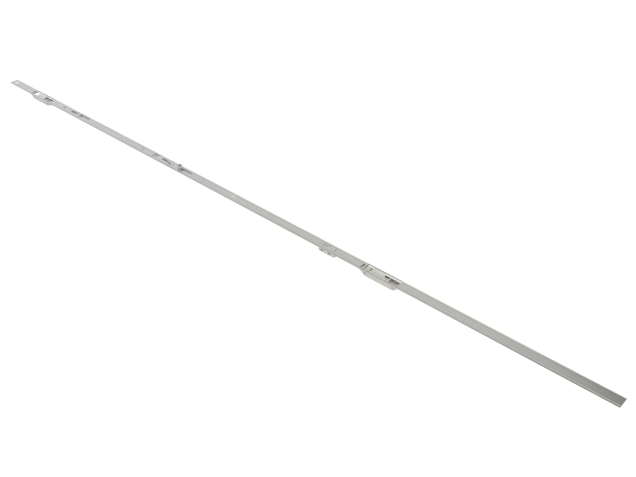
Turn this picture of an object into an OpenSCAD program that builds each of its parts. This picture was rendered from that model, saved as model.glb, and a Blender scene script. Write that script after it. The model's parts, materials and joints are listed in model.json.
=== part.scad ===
// Espagnolette bar: a long faceplate that covers a sliding drive rod.
// The rod carries a mushroom cam and two claws, which run in open cases beneath the faceplate.
// +X runs to the plain end, +Y to the open side of the cases, +Z out of the faceplate.
// The origin is the middle of the bar, level with the underside of the cases.

/* [Faceplate] */
// Length of the whole bar
bar_l = 1200; // [1195:1:1260]
// Width of the faceplate
plate_w = 16; // [15.8:0.1:17.5]
// Thickness of the faceplate
plate_t = 2; // [1.7:0.1:2.4]
// Rounding of the two upper long edges
edge_r = 1.4; // [0.3:0.1:1.6]
// Distance from the far end to the joint between the two lengths of faceplate
joint_in = 537; // [528:1:550]
// Gap between the two lengths of faceplate
joint_gap = 0.3; // [0.1:0.1:1]
// Length of the strips that line the two faceplates up
strip_l = 34; // [20:1:44]
// Width of one of those strips
strip_w = 1.5; // [1:0.1:1.8]
// Thickness of one of those strips
strip_t = 1.2; // [0.8:0.1:1.6]
// Diameter of the spigots on those strips
spigot_d = 1; // [0.6:0.1:1.2]

/* [Fixing holes] */
// Diameter of the hole at the far end
end_hole_d = 9; // [6:0.1:9.4]
// Distance of that hole from the far end
end_hole_in = 8.8; // [8.4:0.1:12]
// Radius of the notch in the far end
end_notch_r = 1.5; // [0.5:0.1:2]
// Distance of the small hole from the far end
small_hole_in = 390.8; // [384:0.1:394]
// Diameter of the small holes
small_hole_d = 3.6; // [2.5:0.1:4.2]
// Distance from the middle of the far case to the small hole beside it
side_hole_in = 65.6; // [62:0.1:66]
// Diameter of a screw's shank hole
screw_hole_d = 4.6; // [3.5:0.1:5]
// Diameter of the countersink for a screw head
sink_d = 9; // [7:0.1:10]
// Depth of that countersink
sink_h = 1.1; // [0.8:0.1:1.4]

/* [Cases] */
// Distance from the far end to the middle of the far case
case_in = 101.8; // [99:0.1:104]
// Distance between the two cases
case_pitch = 777.2; // [774:0.1:780]
// Depth of a case below the faceplate
case_h = 6.5; // [6.3:0.1:8]
// Reach of a case's top edge towards the far end
case_top_far = 32; // [31:0.1:34]
// Reach of a case's top edge towards the plain end
case_top_near = 30.4; // [29.6:0.1:32]
// Half of the length of a case's underside
case_foot = 23.2; // [22:0.1:25]
// Radius at the ends of the underside
case_r = 5; // [2:0.1:7]
// Thickness of a case's walls
case_wall = 1.5; // [1.1:0.1:1.6]
// Thickness of a case's floor
case_floor = 1; // [0.8:0.1:1.2]
// Height of the low wall on the open side
lip_h = 3.8; // [2.6:0.1:4.4]
// Diameter of the two holes in the tall wall
cheek_hole_d = 3.2; // [1.5:0.1:3.4]
// Distance of one of those holes from the middle of the case
cheek_hole_x = 22.3; // [18:0.1:24]
// Distance of those holes below the faceplate
cheek_hole_drop = 2.1; // [1.9:0.1:2.5]
// Reach of the faceplate's opening towards the far end
opening_far = 27; // [25.6:0.1:27.6]
// Reach of that opening towards the plain end
opening_near = 27.4; // [27.2:0.1:28]
// Width of that opening
opening_w = 13.2; // [12.8:0.1:13.6]
// Distance of the narrow slit from the middle of the case
slit_x = 30.8; // [30.4:0.1:31.5]
// Width of the slit along the bar
slit_w = 2.6; // [2:0.1:3]
// Length of the slit across the bar
slit_l = 8.5; // [5:0.1:10]

/* [Drive rod] */
// Travel of the rod from open to locked
stroke = 18; // [12:0.5:18]
// Width of the rod
rod_w = 9.6; // [9:0.1:9.8]
// Thickness of the rod
rod_t = 2.4; // [1.8:0.1:2.6]
// Gap between the rod and the faceplate
rod_gap = 0.15; // [0.1:0.05:0.3]
// Thickness of the rod's low part inside a case
low_t = 1.2; // [0.8:0.1:1.4]
// Gap between that low part and the floor of the case
low_gap = 0.25; // [0.2:0.05:0.4]
// Length of the slope between the two levels
step_l = 2.5; // [2:0.1:3.5]
// Reach of the low part towards the far end in the near case
low_far = 25; // [23:0.1:27]
// Reach of the low part towards the plain end in the far case
low_near = 28.2; // [28:0.1:28.3]
// Clearance at the ends and sides of the slots in the rod
slot_gap = 0.5; // [0.3:0.1:1]

/* [Claws] */
// Reach of a claw from the middle of the case towards the far end
claw_back = 17.8; // [14:0.1:18.4]
// Reach of the claw's nose at its open side
nose_near = 0.1; // [-1:0.1:0.2]
// Slant of the nose, in length along the bar per unit of width
nose_slant = 0.75; // [0:0.01:0.78]
// Edge of the claw on the open side, from the bar's middle
claw_y1 = 5.6; // [4.8:0.1:5.8]
// Edge of the claw beside the tall wall, from the bar's middle
claw_y0 = -6.2; // [-6.2:0.1:-5.6]
// Thickness of the upright ear of the rod between block and leaves
ear_w = 1.4; // [1:0.1:1.5]
// Thickness of one leaf of the claw
leaf_w = 1.5; // [1:0.1:1.5]
// Height of the block above the rod's low part
block_h = 5.7; // [4.6:0.1:5.8]
// Step between one leaf and the next
leaf_step = 0.7; // [0.2:0.1:1]
// Diameter of a claw rivet
claw_rivet_d = 2.4; // [1.6:0.1:2.8]
// Distance between the two rivets of a claw
claw_rivet_pitch = 9; // [7:0.1:10]
// Place of the cross lip in front of the claw
cross_x = 9.8; // [9.4:0.1:10.4]
// Thickness of the cross lip
cross_t = 1.2; // [0.8:0.1:1.5]
// Height of the cross lip above the rod's low part
cross_h = 3.7; // [2.6:0.1:3.8]

/* [Cam] */
// Distance of the cam from the far end
cam_in = 481.8; // [481.6:0.1:483]
// Diameter of the stud that the roller turns on
stud_d = 4.2; // [3.8:0.1:4.6]
// Diameter of the stud's tail in the rod
tail_d = 3.2; // [2.6:0.1:3.6]
// Outer diameter of the roller
roller_d = 6.4; // [6:0.1:6.8]
// Length of the roller
roller_h = 3; // [2.4:0.1:5]
// Clearance between roller and stud
roller_gap = 0.05; // [0.02:0.01:0.08]
// Thickness of the washer under the roller
washer_t = 0.6; // [0.4:0.1:1]
// Diameter of the washer
washer_d = 7; // [6.6:0.1:9]
// Gap between the faceplate and the washer
washer_gap = 0.2; // [0.1:0.05:0.4]
// Diameter of the stud's mushroom head
head_d = 7.2; // [7:0.1:9]
// Height of that head
head_h = 2; // [1.8:0.1:3]
// Width across the flats of the hexagon in the head
hex_w = 2.6; // [2.2:0.1:3]
// Depth of that hexagon
hex_depth = 1.3; // [0.8:0.1:1.6]
// Width of the slot that the stud runs in
cam_slot_w = 5.2; // [5.2:0.1:6.2]
// Extra length of that slot past the locked place
cam_slot_over = 6; // [1:0.5:8]

/* [Rod coupling] */
// Distance from the middle of the far case to the middle of the toothed joint
teeth_in = 124.4; // [122:0.1:126]
// Distance from one tooth to the next
tooth_pitch = 5.2; // [4:0.1:5.4]
// Number of teeth in a row
tooth_n = 5; // [3:1:5]
// Length of a tooth along the rod
tooth_l = 2.6; // [1.6:0.1:3]
// Width of a tooth across the rod
tooth_w = 2.2; // [1.2:0.1:2.4]
// Fit of the teeth in their holes, at each face
tooth_gap = 0.05; // [0.02:0.01:0.15]
// Split between the two rods' tongues, from the bar's middle
split_y = 0.6; // [-0.5:0.1:1]
// Gap between the two tongues
split_gap = 0.4; // [0.2:0.1:0.6]
// Thickness of the toothed saddle under the rods
saddle_t = 1.4; // [1:0.1:1.8]
// Distance from the middle of the far case to the clamp screw
clamp_in = 91; // [90:0.1:94]
// Diameter of the clamp screw
clamp_d = 3; // [2.5:0.1:3.4]
// Diameter of the clamp screw's head
clamp_head_d = 5.4; // [4.4:0.1:6]
// Height of that head
clamp_head_h = 1.4; // [0.8:0.1:1.6]
// Width of the window over the teeth
window_w = 8.6; // [6:0.1:9.4]
// Length of the oval slot over the clamp screw
oval_l = 18; // [12:0.1:19]
// Width of the oval slot
oval_w = 5; // [3:0.1:6]
// Distance from the middle of the far case to the middle of the oval slot
oval_in = 96; // [95:0.1:97.4]

/* [Guard lever] */
// Distance from the far end to the middle of the lever's housing
guard_in = 445; // [444:0.1:445.2]
// Length of the housing in the faceplate
guard_l = 58; // [57:0.1:59]
// Width of the housing in the faceplate
guard_w = 9; // [8:0.1:10]
// Width of the housing's body between the rod's rails
body_w = 5.8; // [5.6:0.1:6]
// Depth of the housing's body below the faceplate
body_h = 5; // [4.8:0.1:5.4]
// Place of the lever's pivot, from the near end of the housing
pivot_in = 10.5; // [10:0.1:12]
// Height of the pivot
pivot_z = 3.4; // [3.2:0.1:3.6]
// Diameter of the pivot pin
pivot_d = 1.8; // [1.2:0.1:2]
// Clearance between the lever and its pin
pivot_gap = 0.04; // [0.02:0.01:0.08]
// Thickness of the lever
lever_w = 2.6; // [1.8:0.1:2.8]
// Height of the lever's crown above its pivot
crown_h = 7.9; // [7:0.1:8.2]
// Reach of the lever from its pivot
crown_l = 11.5; // [10:0.1:12]
// Width of the trough that the spring lies in
trough_w = 4.4; // [4:0.1:4.6]
// Outer diameter of the spring
spring_d = 4; // [3:0.1:4]
// Diameter of the spring's wire
wire_d = 0.8; // [0.4:0.1:0.9]
// Turns of the spring
spring_turns = 7; // [4:1:8]
// Length of the spring
spring_l = 15; // [12:0.5:15.5]
// Thickness of the wire clip that holds the housing
clip_t = 1; // [0.6:0.1:1.2]
// Radius of the two bends of that clip
clip_r = 2; // [1.5:0.1:2.2]

/* [Guide bracket] */
// Distance from the middle of the bracket to the middle of the near case
bracket_in = 88.6; // [84:0.1:92]
// Length of the bracket
bracket_l = 27.4; // [25:0.1:34]
// Depth of the bracket below the faceplate
bracket_h = 4.9; // [4.4:0.1:5.4]
// Thickness of its legs
leg_t = 1.2; // [0.8:0.1:1.4]
// Thickness of the flanges that lie against the faceplate
flange_t = 1.2; // [0.8:0.1:1.4]
// Gap between the bracket's channel and the sides of the rod
channel_gap = 0.3; // [0.2:0.05:0.4]
// Reach of its feet under the rod, from the bracket's sides
foot_in = 3.6; // [3.4:0.1:5]
// Length of the floor at each end of the bracket
bridge_l = 5; // [3:0.5:7]
// Thickness of that floor
bridge_t = 1.2; // [0.8:0.1:1.6]
// Distance from the middle of the bracket to the stake marks in the faceplate
stake_in = 10; // [8:0.1:12]
// Length of a stake mark across the bar
stake_l = 6; // [3:0.5:8]
// Width of a stake mark
stake_w = 0.8; // [0.4:0.1:1.2]
// Depth of a stake mark
stake_h = 0.6; // [0.2:0.1:1]
// Place of its screw hole from the middle of the bracket
bracket_hole = -2.2; // [-4:0.1:4]
// Width of a window in its legs
leg_window = 4; // [2:0.1:5]

/* [Rod guides] */
// Distance from the far end to the rivet near the middle of the bar
rivet_near_in = 602.2; // [598:0.1:610]
// Distance from the middle of the far case to the rivet beside it
rivet_far_in = 52.4; // [52.4:0.1:54]
// Distance from the middle of the far case to the next rivet
rivet_mid_in = 74; // [73.8:0.1:76]
// Diameter of a guide rivet
rivet_d = 3.4; // [2.5:0.1:4]
// Diameter of its heads
rivet_head_d = 5.6; // [4.6:0.1:7]
// Height of its sunk upper head
rivet_head_h = 0.9; // [0.5:0.1:1.2]
// Thickness of the washers and lower heads under the rod
under_t = 1; // [0.6:0.1:1.4]
// Diameter of those lower heads
under_d = 6.6; // [5.8:0.1:6.8]
// Distance from the far end to the cross-recess screw
screw_in = 333.6; // [330:0.1:340]
// Diameter of that screw
screw_d = 4; // [3:0.1:4.4]

/* [Hidden] */
$fn = 48;
cut = 0.5;
deck_z = case_h + plate_t;
half_l = bar_l / 2;
half_w = plate_w / 2;
rod_top = case_h - rod_gap;
rod_bot = rod_top - rod_t;
low_bot = case_floor + low_gap;
low_top = low_bot + low_t;
case_a_x = case_in - half_l;
case_b_x = case_a_x + case_pitch;
joint_x = joint_in - half_l;
small_hole_x = small_hole_in - half_l;
side_hole_x = case_a_x + side_hole_in;
cam_x = cam_in - half_l;
teeth_x = case_a_x + teeth_in;
clamp_x = case_a_x + clamp_in;
oval_x = case_a_x + oval_in;
guard_x = guard_in - half_l;
bracket_x = case_b_x - bracket_in;
rivet_near_x = rivet_near_in - half_l;
rivet_far_x = case_a_x + rivet_far_in;
rivet_mid_x = case_a_x + rivet_mid_in;
screw_x = screw_in - half_l;
claw_z1 = low_top + block_h;
ear_y1 = claw_y0 + 2 * leaf_w + ear_w;
leaf_y = [ear_y1 - ear_w, ear_y1 - ear_w - leaf_w];
cam_z = deck_z + washer_gap;
roller_z = cam_z + washer_t + roller_gap;
head_z = roller_z + roller_h + roller_gap;
teeth_l = (tooth_n - 1) * tooth_pitch + tooth_l;
tongue_far = teeth_x - teeth_l / 2 - 1.6;
tongue_near = teeth_x + teeth_l / 2 + 1.6;
saddle_far = clamp_x - clamp_head_d / 2 - 1;
guard_far = guard_x - guard_l / 2;
guard_near = guard_x + guard_l / 2;
pivot_x = guard_near - pivot_in;
body_far = guard_far + 14;
body_near = guard_near - 5;
spring_z = deck_z - spring_d / 2 - 0.2;
spring_near = pivot_x - crown_l - 0.1;
clip_x = guard_far + 7;
bracket_hole_x = bracket_x + bracket_hole;
foot_t = rod_bot - case_h + bracket_h - rod_gap;
under_z = rod_bot - rod_gap;

// Points along an arc about c, from angle a0 to angle a1
function arc(c, r, a0, a1, n) =
    [for (i = [0:n]) c + r * [cos(a0 + (a1 - a0) * i / n), sin(a0 + (a1 - a0) * i / n)]];

// Solid of an outline drawn in X and Z, between two places across the bar
module across(y0, y1) {
    translate([0, y1, 0]) rotate([90, 0, 0]) linear_extrude(y1 - y0) children();
}

// Solid of an outline drawn in Y and Z, between two places along the bar
module along(x0, x1) {
    translate([x0, 0, 0]) rotate([90, 0, 90]) linear_extrude(x1 - x0) children();
}

// Box between two corners
module box(a, b) {
    translate(a) cube(b - a);
}

// Upright round bar or hole
module peg(x, y, z0, z1, d) {
    translate([x, y, z0]) cylinder(h = z1 - z0, d = d);
}

// Upright slot with round ends, from x0 to x1 overall
module slot(x0, x1, w, z0, z1) {
    peg(x0 + w / 2, 0, z0, z1, w);
    peg(x1 - w / 2, 0, z0, z1, w);
    box([x0 + w / 2, -w / 2, z0], [x1 - w / 2, w / 2, z1]);
}

// Upright slot in the rod for a fixed piece that reaches from x0 to x1 at rest
module rod_slot(x0, x1, w) {
    slot(x0 - stroke - slot_gap, x1 + slot_gap, w + 2 * slot_gap, 0, rod_top + cut);
}

// Pocket with sloped sides for a screw's countersunk head
module sink(x, top, d0, d1, h) {
    translate([x, 0, top - h]) cylinder(h = h + 0.01, d1 = d1, d2 = d0);
}

// Section of the faceplate, with its two upper edges rounded
module plate_section() intersection() {
    translate([-half_w, case_h]) square([plate_w, plate_t]);
    union() {
        translate([-half_w, 0]) square([plate_w, deck_z - edge_r]);
        translate([edge_r - half_w, 0]) square([plate_w - 2 * edge_r, deck_z]);
        for (side = [-1, 1]) translate([side * (half_w - edge_r), deck_z - edge_r]) circle(edge_r);
    }
}

// Opening and slit in the faceplate over a case
module case_openings(x) {
    box([x - opening_far, -opening_w / 2, 0], [x + opening_near, opening_w / 2, deck_z + cut]);
    box([x - slit_x - slit_w / 2, -opening_w / 2 + 0.4, 0],
        [x - slit_x + slit_w / 2, -opening_w / 2 + 0.4 + slit_l, deck_z + cut]);
}

// Round holes in the faceplate for one guide rivet
module rivet_holes(x) {
    peg(x, 0, 0, deck_z + cut, rivet_d);
    peg(x, 0, deck_z - rivet_head_h, deck_z + cut, rivet_head_d);
}

// Holes in both faceplates for the spigots of the lining-up strips
module spigot_holes() {
    for (side = [-1, 1], end = [-1, 1])
        peg(joint_x + end * strip_l / 3, side * strip_y(), 0, case_h + spigot_h(), spigot_d);
}
function strip_y() = rod_w / 2 + 0.4 + strip_w / 2;
function spigot_h() = plate_t / 2;

module faceplate_near() color("silver") difference() {
    along(joint_x + joint_gap / 2, half_l) plate_section();
    case_openings(case_b_x);
    rivet_holes(rivet_near_x);
    peg(bracket_hole_x, 0, 0, deck_z + cut, screw_hole_d);
    sink(bracket_hole_x, deck_z, sink_d, screw_hole_d, sink_h);
    for (end = [-1, 1]) translate([bracket_x + end * stake_in, 0, deck_z])
        cube([stake_w, stake_l, 2 * stake_h], center = true);
    spigot_holes();
}

module faceplate_far() color("silver") difference() {
    along(-half_l, joint_x - joint_gap / 2) plate_section();
    case_openings(case_a_x);
    rivet_holes(rivet_far_x);
    rivet_holes(rivet_mid_x);
    slot(cam_x - cam_slot_w / 2, cam_x + stroke + cam_slot_w / 2 + cam_slot_over, cam_slot_w, 0, deck_z + cut);
    box([guard_far, -guard_w / 2, 0], [guard_near, guard_w / 2, deck_z + cut]);
    peg(small_hole_x, 0, 0, deck_z + cut, small_hole_d);
    peg(side_hole_x, 0, 0, deck_z + cut, small_hole_d);
    peg(screw_x, 0, 0, deck_z + cut, screw_d);
    sink(screw_x, deck_z, sink_d, screw_d, plate_t);
    box([tongue_far, -window_w / 2 + split_y / 2, 0], [tongue_near, window_w / 2 + split_y / 2, deck_z + cut]);
    slot(oval_x - oval_l / 2, oval_x + oval_l / 2, oval_w, 0, deck_z + cut);
    peg(end_hole_in - half_l, 0, 0, deck_z + cut, end_hole_d);
    peg(-half_l, 0, 0, deck_z + cut, 2 * end_notch_r);
    spigot_holes();
}

module joint_strips() color("lightsteelblue") for (side = [-1, 1]) {
    y = side * strip_y();
    box([joint_x - strip_l / 2, y - strip_w / 2, case_h - strip_t],
        [joint_x + strip_l / 2, y + strip_w / 2, case_h]);
    for (end = [-1, 1])
        peg(joint_x + end * strip_l / 3, y, case_h - strip_t, case_h + spigot_h(), spigot_d);
}

// Boat-shaped side of a case, rounded at the ends of its underside
module case_side() {
    far_slope = atan2(case_h, case_top_far - case_foot);
    near_slope = atan2(case_h, case_top_near - case_foot);
    polygon(concat(
        [[-case_top_far, case_h]],
        arc([-case_foot + case_r * tan(far_slope / 2), case_r], case_r, 270 - far_slope, 270, 8),
        arc([case_foot - case_r * tan(near_slope / 2), case_r], case_r, 270, 270 + near_slope, 8),
        [[case_top_near, case_h]]));
}

// Case with a tall wall on one side and a low wall on the open side
module case_shell(x) color("gainsboro") translate([x, 0, 0]) {
    inner = half_w - case_wall;
    tab_y = -opening_w / 2 + 0.4;
    difference() {
        across(-half_w, half_w) case_side();
        box([-case_top_far - cut, -inner, case_floor], [case_top_near + cut, inner, case_h + cut]);
        box([-case_top_far - cut, 0, lip_h], [case_top_near + cut, half_w + cut, case_h + cut]);
        for (end = [-1, 1]) translate([end * cheek_hole_x, -half_w - cut, case_h - cheek_hole_drop])
            rotate([-90, 0, 0]) cylinder(h = case_wall + 2 * cut, d = cheek_hole_d);
    }
    box([-slit_x - slit_w / 2, -half_w, case_h - 0.8], [slit_w / 2 - slit_x, tab_y + 1, case_h]);
    box([-slit_x - slit_w / 2, tab_y, case_h - 0.8], [slit_w / 2 - slit_x, tab_y + 1, deck_z - plate_t / 2]);
}

module case_a() case_shell(case_a_x);
module case_b() case_shell(case_b_x);

// Place along the bar where the claw's slanted nose meets a place across it
function nose_x(y) = nose_near + (claw_y1 - y) * nose_slant;

// Where the claw's two rivets pass through
module claw_rivet_bars(y0, y1) {
    for (i = [0, 1]) translate([-claw_back + 5 + i * claw_rivet_pitch, y0, low_top + block_h / 2])
        rotate([-90, 0, 0]) cylinder(h = y1 - y0, d = claw_rivet_d);
}

// One plate of a claw between two places across the bar, its nose cut on the slant
module claw_plate(y0, y1, top) {
    r = 3;
    difference() {
        intersection() {
            across(y0, y1) polygon(concat(
                [[-claw_back, low_top]],
                arc([-claw_back + r, top - r], r, 180, 90, 8),
                [[nose_x(y0), top], [nose_x(y0), low_top]]));
            linear_extrude(top + cut)
                polygon([[-claw_back, y0], [nose_x(y0), y0], [nose_x(y1), y1], [-claw_back, y1]]);
        }
        claw_rivet_bars(y0 - cut, y1 + cut);
    }
}

module claw_block(x) color("whitesmoke") translate([x, 0, 0])
    claw_plate(ear_y1, claw_y1, claw_z1);
module claw_leaf(x, i) color("whitesmoke") translate([x, 0, 0])
    claw_plate(leaf_y[i] - leaf_w, leaf_y[i], claw_z1 - (1 - i) * leaf_step);
module claw_rivets(x) color("dimgray") translate([x, 0, 0])
    claw_rivet_bars(leaf_y[1] - leaf_w, claw_y1);

module claw_a_block() claw_block(case_a_x);
module claw_a_inner_leaf() claw_leaf(case_a_x, 0);
module claw_a_outer_leaf() claw_leaf(case_a_x, 1);
module claw_a_rivets() claw_rivets(case_a_x);
module claw_b_block() claw_block(case_b_x);
module claw_b_inner_leaf() claw_leaf(case_b_x, 0);
module claw_b_outer_leaf() claw_leaf(case_b_x, 1);
module claw_b_rivets() claw_rivets(case_b_x);

// Upright ear between block and leaves, and the cross lip in front of the nose
module claw_seat(x) translate([x, 0, 0]) {
    claw_plate(ear_y1 - ear_w, ear_y1, claw_z1 - leaf_step / 2);
    box([cross_x, -rod_w / 2, low_bot], [cross_x + cross_t, rod_w / 2, low_top + cross_h]);
}

// Holes for the teeth in one tongue
module tooth_holes(side) {
    for (i = [0:tooth_n - 1]) tooth(i, side, 0, rod_top + cut, tooth_gap);
}

// One tooth, or its hole when it is grown by a gap
module tooth(i, side, z0, z1, grow) {
    x = teeth_x + (i - (tooth_n - 1) / 2) * tooth_pitch;
    y = split_y + side * (split_gap / 2 + tooth_w / 2 + 0.7);
    box([x - tooth_l / 2 - grow, y - tooth_w / 2 - grow, z0], [x + tooth_l / 2 + grow, y + tooth_w / 2 + grow, z1]);
}

module rod_near() color("gray") {
    difference() {
        across(-rod_w / 2, rod_w / 2) polygon([
            [tongue_far, rod_bot], [case_b_x - low_far - step_l, rod_bot],
            [case_b_x - low_far, low_bot], [case_b_x + cross_x + cross_t, low_bot],
            [case_b_x + cross_x + cross_t, low_top], [case_b_x - low_far + step_l / 2, low_top],
            [case_b_x - low_far - step_l / 2, rod_top], [tongue_far, rod_top]]);
        box([tongue_far - cut, split_y - split_gap / 2, 0], [tongue_near, rod_w, deck_z]);
        tooth_holes(-1);
        rod_slot(rivet_near_x - rivet_d / 2, rivet_near_x + rivet_d / 2, rivet_d);
        rod_slot(bracket_hole_x - screw_hole_d / 2, bracket_hole_x + screw_hole_d / 2, screw_hole_d);
        rod_slot(screw_x - screw_d / 2, screw_x + screw_d / 2, screw_d);
        rod_slot(small_hole_x - small_hole_d / 2, small_hole_x + small_hole_d / 2, small_hole_d);
        box([body_far - stroke - slot_gap, -body_w / 2 - slot_gap / 2, 0],
            [body_near + slot_gap, body_w / 2 + slot_gap / 2, deck_z]);
        peg(cam_x, 0, 0, deck_z, tail_d);
    }
    claw_seat(case_b_x);
}

module rod_far() color("gray") {
    difference() {
        across(-rod_w / 2, rod_w / 2) polygon([
            [case_a_x - claw_back, low_bot], [case_a_x + low_near, low_bot],
            [case_a_x + low_near + step_l, rod_bot], [tongue_near, rod_bot],
            [tongue_near, rod_top], [case_a_x + low_near + step_l / 2, rod_top],
            [case_a_x + low_near - step_l / 2, low_top], [case_a_x - claw_back, low_top]]);
        box([tongue_far, -rod_w, 0], [tongue_near + cut, split_y + split_gap / 2, deck_z]);
        tooth_holes(1);
        rod_slot(rivet_far_x - rivet_d / 2, rivet_far_x + rivet_d / 2, rivet_d);
        rod_slot(rivet_mid_x - rivet_d / 2, rivet_mid_x + rivet_d / 2, rivet_d);
        rod_slot(side_hole_x - small_hole_d / 2, side_hole_x + small_hole_d / 2, small_hole_d);
        peg(clamp_x, 0, 0, deck_z, clamp_d);
        peg(clamp_x, 0, rod_top - clamp_head_h, deck_z, clamp_head_d);
    }
    claw_seat(case_a_x);
}

// Plate under the joint of the rods, with two rows of teeth that lock them together
module coupling_saddle() color("lightgray") difference() {
    union() {
        box([saddle_far, -rod_w / 2 + 0.6, rod_bot - saddle_t], [tongue_near + 1, rod_w / 2 - 0.6, rod_bot]);
        for (i = [0:tooth_n - 1], side = [-1, 1]) tooth(i, side, rod_bot - cut, rod_top - 0.1, 0);
    }
    peg(clamp_x, 0, 0, deck_z, clamp_d);
}

module clamp_screw() color("gray") difference() {
    union() {
        peg(clamp_x, 0, rod_bot - saddle_t, rod_top, clamp_d);
        peg(clamp_x, 0, rod_top - clamp_head_h, rod_top, clamp_head_d);
    }
    translate([clamp_x, 0, rod_top - clamp_head_h / 2]) cylinder(h = clamp_head_h, d = clamp_d, $fn = 6);
}

// Stud with a tail in the rod, a smooth neck for the roller and a mushroom head
module cam_stud() color("slategray") difference() {
    translate([cam_x, 0, 0]) rotate_extrude() polygon(concat(
        [[0, rod_bot], [tail_d / 2, rod_bot], [tail_d / 2, rod_top], [stud_d / 2, rod_top], [stud_d / 2, head_z],
            [head_d / 2, head_z]],
        arc([head_d / 2 - head_h * 0.6, head_z + head_h * 0.4], head_h * 0.6, 0, 90, 10),
        [[0, head_z + head_h]]));
    translate([cam_x, 0, head_z + head_h - hex_depth]) cylinder(h = head_h, d = hex_w / cos(30), $fn = 6);
}

// Flat ring or roller with its rims rounded off
module ring(x, z, h, d_out, d_in, r) {
    translate([x, 0, z]) rotate_extrude() polygon(concat(
        [[d_in / 2, 0]], arc([d_out / 2 - r, r], r, -90, 0, 5),
        arc([d_out / 2 - r, h - r], r, 0, 90, 5), [[d_in / 2, h]]));
}

module cam_washer() color("silver") ring(cam_x, cam_z, washer_t, washer_d, stud_d, washer_t / 4);
module cam_roller() color("dimgray")
    ring(cam_x, roller_z, roller_h, roller_d, stud_d + 2 * roller_gap, 0.7);

// Housing let into the faceplate, with a slot for the lever and a trough for its spring
module guard_housing() color("lightgray") difference() {
    union() {
        box([guard_far, -guard_w / 2, case_h], [guard_near, guard_w / 2, deck_z - 0.2]);
        box([body_far, -body_w / 2, case_h - body_h], [body_near, body_w / 2, case_h]);
    }
    box([pivot_x - crown_l - 1.6, -lever_w / 2 - 0.2, 0], [pivot_x + 3.4, lever_w / 2 + 0.2, deck_z + cut]);
    box([spring_near - spring_l, -trough_w / 2, spring_z - spring_d / 2 - 0.1],
        [spring_near + 0.2, trough_w / 2, deck_z + cut]);
    translate([pivot_x, body_w / 2 + cut, pivot_z]) rotate([90, 0, 0])
        cylinder(h = body_w + 2 * cut, d = pivot_d);
    box([clip_x - 2 * clip_r - clip_t, -guard_w / 2 + 0.8, deck_z - 0.2 - clip_t],
        [clip_x + 2 * clip_r + clip_t, guard_w / 2 - 0.8, deck_z + cut]);
}

// Rocking lever whose crown stands above the faceplate
module guard_lever() color("whitesmoke") difference() {
    hub_r = pivot_d / 2 + 1.1;
    across(-lever_w / 2, lever_w / 2) translate([pivot_x, pivot_z]) polygon(concat(
        arc([0, 0], hub_r, 255, 390, 12),
        [[0, 3.4], [-crown_l * 0.22, crown_h - 1.4], [-crown_l * 0.4, crown_h - 0.3],
            [-crown_l * 0.52, crown_h], [-crown_l * 0.64, crown_h - 0.2], [-crown_l * 0.82, 7.1],
            [-crown_l, 5], [-crown_l, 1.6]]));
    translate([pivot_x, lever_w / 2 + cut, pivot_z]) rotate([90, 0, 0])
        cylinder(h = lever_w + 2 * cut, d = pivot_d + 2 * pivot_gap);
}

module guard_pin() color("dimgray") translate([pivot_x, body_w / 2, pivot_z]) rotate([90, 0, 0])
    cylinder(h = body_w, d = pivot_d);

// Points of one ring of the spring's wire, and the closed tube through all rings
function wire_ring(a, sides) =
    let (r = spring_d / 2 - wire_d / 2, w = wire_d / 2,
        x = -wire_d / 2 - (spring_l - wire_d) * a / (360 * spring_turns))
    [for (k = [0:sides - 1]) [x + w * cos(360 * k / sides),
        (r + w * sin(360 * k / sides)) * cos(a), (r + w * sin(360 * k / sides)) * sin(a)]];
module guard_spring() color("darkgray") {
    sides = 6;
    rings = spring_turns * 12;
    points = [for (i = [0:rings]) each wire_ring(i * 30, sides)];
    translate([spring_near, 0, spring_z]) polyhedron(points, concat(
        [[for (k = [0:sides - 1]) sides - 1 - k]],
        [for (i = [0:rings - 1], k = [0:sides - 1])
            [i * sides + k, i * sides + (k + 1) % sides,
             (i + 1) * sides + (k + 1) % sides, (i + 1) * sides + k]],
        [[for (k = [0:sides - 1]) rings * sides + k]]));
}

// Flat spring clip bent to an S, lying in the housing's recess
module housing_clip() color("whitesmoke") translate([clip_x, 0, deck_z - 0.2 - clip_t]) {
    for (turn = [0, 180]) rotate([0, 0, turn]) translate([-clip_r, 0, 0]) rotate_extrude(angle = 180)
        translate([clip_r - clip_t / 2, 0]) square(clip_t);
}

// Section of the guide bracket: a channel for the rod between two flanged legs with feet
module bracket_section() {
    bottom = case_h - bracket_h;
    channel = rod_w / 2 + channel_gap;
    difference() {
        translate([-half_w, bottom]) square([plate_w, bracket_h]);
        translate([-half_w + leg_t, bottom + foot_t]) square([plate_w - 2 * leg_t, bracket_h - foot_t - flange_t]);
        translate([-channel, bottom + foot_t]) square([2 * channel, bracket_h]);
        translate([-half_w + foot_in, 0]) square([plate_w - 2 * foot_in, case_h + cut]);
    }
}

// Bracket that guides the rod below the faceplate, with a floor at each end
module guide_bracket() color("gainsboro") {
    far = bracket_x - bracket_l / 2;
    near = bracket_x + bracket_l / 2;
    difference() {
        along(far, near) bracket_section();
        for (i = [-8, 5]) box([bracket_x + i - leg_window / 2, -half_w - cut, case_h - bracket_h + foot_t],
            [bracket_x + i + leg_window / 2, -half_w + leg_t + cut, case_h - flange_t]);
    }
    for (x = [far, near - bridge_l])
        box([x, -half_w + leg_t, case_h - bracket_h], [x + bridge_l, half_w - leg_t, case_h - bracket_h + bridge_t]);
}

// Rivet sunk in the faceplate, passing through a slot in the rod, headed below it
module guide_rivets() color("silver") for (x = [rivet_near_x, rivet_mid_x, rivet_far_x]) {
    peg(x, 0, under_z - under_t, deck_z, rivet_d);
    peg(x, 0, deck_z - rivet_head_h, deck_z, rivet_head_d);
    peg(x, 0, under_z - under_t, under_z, under_d);
}

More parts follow.
